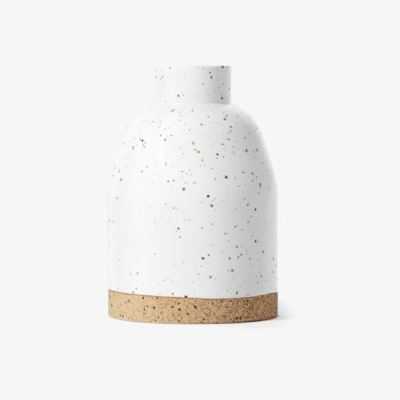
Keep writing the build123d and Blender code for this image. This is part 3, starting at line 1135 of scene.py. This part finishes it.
class VASE_OT_clay_base(bpy.types.Operator):
    """Make the thrown clay cylinder with its floor and its turned foot"""

    bl_idname = "vase.clay_base"
    bl_label = "Clay Base"

    def execute(self, context):
        shape = context.scene.vase_shape
        inner = CLAY_RADIUS - shape.wall
        recess = CLAY_RADIUS - shape.foot_ring
        step = CLAY_RADIUS - shape.wall / 2
        mesh = bmesh.new()
        pen = ProfilePen(mesh, 0, shape.foot_recess)
        pen.line(recess, shape.foot_recess, FLOOR_STEPS)
        pen.line(recess, shape.recess_round)
        pen.arc((recess + shape.recess_round, shape.recess_round), pi / 2, RECESS_ROUND_STEPS)
        pen.line(CLAY_RADIUS - shape.foot_round, 0, FLAT_STEPS)
        pen.arc((CLAY_RADIUS - shape.foot_round, shape.foot_round), pi / 2, ROUND_STEPS)
        pen.line(CLAY_RADIUS, CLAY_SEAM - shape.seam_lap, WALL_STEPS)
        pen.line(step, CLAY_SEAM - shape.seam_lap)
        pen.line(step, CLAY_SEAM)
        pen.line(inner, CLAY_SEAM)
        pen.line(inner, CLAY_FLOOR + shape.floor_cove, COVERED_WALL_STEPS)
        pen.arc((inner - shape.floor_cove, CLAY_FLOOR + shape.floor_cove), -pi / 2, ROUND_STEPS)
        pen.line(0, CLAY_FLOOR, COVERED_FLOOR_STEPS)
        turn_on_wheel(mesh)
        places = speck_places(mesh, context.scene.vase_studio, CLAY_SPECKS)
        material = clay_material("bare_clay", context.scene.vase_clay, places)
        piece = finish_piece(mesh, "clay_base", material, "base_cylinder")
        below = piece.data.attributes.new("below_glaze", "FLOAT", "POINT")
        for vert in piece.data.vertices:
            below.data[vert.index].value = glaze_edge(shape, vert.co) - vert.co.z
        return {"FINISHED"}


class VASE_OT_clay_sections(bpy.types.Operator):
    """Give the clay of the shoulder and of the collar, which lie under the glaze, their finish"""

    bl_idname = "vase.clay_sections"
    bl_label = "Clay Sections"

    def execute(self, context):
        material = clay_material("covered_clay", context.scene.vase_clay, [])
        for name in ("shoulder_dome", "neck_collar"):
            data = frame["nodes"][name].data
            data.materials.clear()
            data.materials.append(material)
        return {"FINISHED"}


def mix_surfaces(tree, share, under, over):
    """Adds a Mix Shader node and returns its shader."""
    return add_node(tree, "ShaderNodeMixShader", {0: share, 1: under, 2: over}).outputs[0]


def ground_shadow(tree, place, where):
    """Share of the ground that shows the vase's own shadow: a pool by the foot and a line of contact."""
    behind = multiply(tree, where["Y"], POOL_BEHIND)
    before = multiply(tree, where["Y"], POOL_BEFORE)
    pool = add_node(
        tree, "ShaderNodeCombineXYZ", {"X": where["X"], "Y": larger(tree, behind, before)},
    ).outputs["Vector"]
    reach = vector_math(tree, "LENGTH", pool)["Value"]
    apart = vector_math(tree, "LENGTH", place)["Value"]
    rightward = ease(tree, where["X"], *POOL_SIDE)
    pooled = multiply(tree, ease(tree, reach, *POOL_REACH), rightward)
    pooled = multiply(tree, pooled, ease(tree, where["Y"], *POOL_BACK))
    contact = multiply(tree, ease(tree, apart, BODY_RADIUS + CONTACT_REACH, BODY_RADIUS), rightward)
    return larger(tree, pooled, contact)


def ground_material(studio):
    """Paper that runs into the backdrop, with the vase's shadow and a soft painted shade; clear from below.
    """
    material = bpy.data.materials.new("ground_paper")
    material.use_nodes = True
    tree = material.node_tree
    tree.nodes.clear()
    place = add_node(tree, "ShaderNodeTexCoord").outputs["Object"]
    where = split_place(tree, place)
    # painted shade: dims the paper's glow in an oval to the right of the foot
    oval = add_node(
        tree, "ShaderNodeMapping", {"Vector": place, "Location": SHADE_CENTRE, "Scale": SHADE_REACH},
        vector_type="TEXTURE",
    ).outputs["Vector"]
    shade = ease(tree, vector_math(tree, "LENGTH", oval)["Value"], *SHADE_FADE)
    bright = multiply(tree, calculate(tree, "SUBTRACT", 1.0, shade), studio.backdrop)

    paper = add_node(tree, "ShaderNodeEmission", {"Strength": bright}).outputs[0]
    shaded = add_node(tree, "ShaderNodeBsdfDiffuse", {"Color": PLAIN_WHITE}).outputs[0]
    lit = add_node(tree, "ShaderNodeBsdfDiffuse", {"Color": GROUND_GREY}).outputs[0]
    clear = add_node(tree, "ShaderNodeBsdfTransparent").outputs[0]
    path = add_node(tree, "ShaderNodeLightPath").outputs
    direct = larger(tree, path["Is Camera Ray"], path["Is Transmission Ray"])
    under = add_node(tree, "ShaderNodeNewGeometry").outputs["Backfacing"]
    seen = mix_surfaces(tree, ground_shadow(tree, place, where), paper, shaded)
    top = mix_surfaces(tree, direct, lit, seen)
    whole = mix_surfaces(tree, under, top, clear)
    add_node(tree, "ShaderNodeOutputMaterial", {"Surface": whole})
    return material


def add_ground(studio):
    """Pale ground that keeps the vase's shadow and runs out into the backdrop."""
    mesh = bmesh.new()
    bmesh.ops.create_circle(mesh, cap_ends=True, radius=GROUND_RADIUS, segments=GROUND_SEGMENTS)
    bmesh.ops.translate(mesh, vec=(0, 0, -GROUND_DROP), verts=mesh.verts[:])
    bmesh.ops.recalc_face_normals(mesh, faces=mesh.faces[:])
    data = bpy.data.meshes.new("ground")
    mesh.to_mesh(data)
    mesh.free()
    data.materials.append(ground_material(studio))
    ground = bpy.data.objects.new("ground", data)
    bpy.context.scene.collection.objects.link(ground)
    ground.visible_glossy = False


def bearing(azimuth_angle, height_angle):
    """Direction from the vase, by its angle clockwise from the front and its height above the ground."""
    flat = cos(height_angle)
    return Vector((flat * sin(azimuth_angle), -flat * cos(azimuth_angle), sin(height_angle)))


def light_room(scene, studio):
    """Backdrop for the camera, and soft light from a room with a lit disc on the paper behind the vase."""
    world = bpy.data.worlds.new("studio_room")
    scene.world = world
    world.use_nodes = True
    tree = world.node_tree
    tree.nodes.clear()
    path = add_node(tree, "ShaderNodeLightPath").outputs
    direction = add_node(tree, "ShaderNodeTexCoord").outputs["Generated"]
    toward = split_place(tree, direction)
    level = ease(tree, toward["Y"], *FRONT_RANGE, studio.front, studio.room)
    level = multiply(tree, level, ease(tree, toward["X"], *LEFT_DIMMING))
    level = blend_value(tree, ease(tree, toward["Y"], *BACKDROP_RANGE), level, studio.backdrop)
    level = blend_value(tree, ease(tree, toward["Z"], *CEILING_RANGE), level, studio.ceiling)

    slant = calculate(tree, "MULTIPLY_ADD", toward["Z"], SWEEP_SLANT, toward["Y"])
    behind = multiply(tree, ease(tree, slant, *SWEEP_EDGE), ease(tree, toward["Y"], *SWEEP_BACK))
    behind = multiply(tree, behind, ease(tree, toward["X"], *SWEEP_SIDE))
    level = blend_value(tree, behind, level, studio.sweep)

    disc = bearing(studio.disc_azimuth, studio.disc_height)
    nearness = vector_math(tree, "DOT_PRODUCT", direction, disc)["Value"]
    outside = cos(studio.disc_radius + studio.disc_edge)
    inside = cos(studio.disc_radius - studio.disc_edge)
    level = blend_value(tree, ease(tree, nearness, outside, inside), level, studio.disc)

    passing = larger(tree, path["Is Camera Ray"], path["Is Transmission Ray"])
    level = blend_value(tree, passing, level, studio.backdrop)
    tint = blend_colour(tree, passing, ROOM_TINT, PLAIN_WHITE)
    light = add_node(tree, "ShaderNodeBackground", {"Color": tint, "Strength": level})
    add_node(tree, "ShaderNodeOutputWorld", {"Surface": light.outputs[0]})


class VASE_OT_studio(bpy.types.Operator):
    """Set up the camera, the window light, the room and the ground"""

    bl_idname = "vase.studio"
    bl_label = "Studio"

    def execute(self, context):
        scene = context.scene
        studio = scene.vase_studio
        scene.view_settings.view_transform = "Standard"

        optics = bpy.data.cameras.new("photo_camera")
        optics.lens = studio.lens
        optics.sensor_width = SENSOR * MILLIMETRES
        camera = bpy.data.objects.new("photo_camera", optics)
        camera.matrix_world = camera_place(studio)
        scene.collection.objects.link(camera)
        scene.camera = camera

        lamp = bpy.data.lights.new("window_light", "SUN")
        lamp.energy = studio.key_strength
        lamp.angle = studio.key_spread
        window = bpy.data.objects.new("window_light", lamp)
        toward = bearing(studio.key_azimuth, studio.key_height)
        window.rotation_euler = toward.to_track_quat("Z", "Y").to_euler()
        window.visible_glossy = False
        scene.collection.objects.link(window)

        light_room(scene, studio)
        add_ground(studio)
        return {"FINISHED"}


class VASE_PT_sidebar(bpy.types.Panel):
    """Lists the pieces of the vase and the values that shape and colour them"""

    bl_idname = "VASE_PT_sidebar"
    bl_label = "Speckled Bottle Vase"
    bl_space_type = "VIEW_3D"
    bl_region_type = "UI"
    bl_category = "Vase"

    def draw(self, context):
        for operator in OPERATORS:
            self.layout.operator(operator.bl_idname)
        for name, group in SETTINGS.items():
            box = self.layout.box()
            values = getattr(context.scene, name)
            for value in group.__annotations__:
                box.prop(values, value)


SETTINGS = {
    "vase_shape": VaseShape,
    "vase_glaze": VaseGlaze,
    "vase_clay": VaseClay,
    "vase_studio": VaseStudio,
}
OPERATORS = (
    VASE_OT_glaze_coat,
    VASE_OT_inner_glaze,
    VASE_OT_clay_base,
    VASE_OT_clay_sections,
    VASE_OT_studio,
)


def register():
    """Adds the classes and their settings to the scene."""
    for entry in (*SETTINGS.values(), *OPERATORS, VASE_PT_sidebar):
        bpy.utils.register_class(entry)
    for name, group in SETTINGS.items():
        setattr(bpy.types.Scene, name, bpy.props.PointerProperty(type=group))


def unregister():
    """Takes the settings and the classes away again."""
    for name in SETTINGS:
        delattr(bpy.types.Scene, name)
    for entry in (VASE_PT_sidebar, *reversed(OPERATORS), *reversed(SETTINGS.values())):
        bpy.utils.unregister_class(entry)


def main():
    """Makes every piece and the studio."""
    register()
    bpy.ops.vase.glaze_coat()
    bpy.ops.vase.inner_glaze()
    bpy.ops.vase.clay_base()
    bpy.ops.vase.clay_sections()
    bpy.ops.vase.studio()


if __name__ == "__main__":
    main()
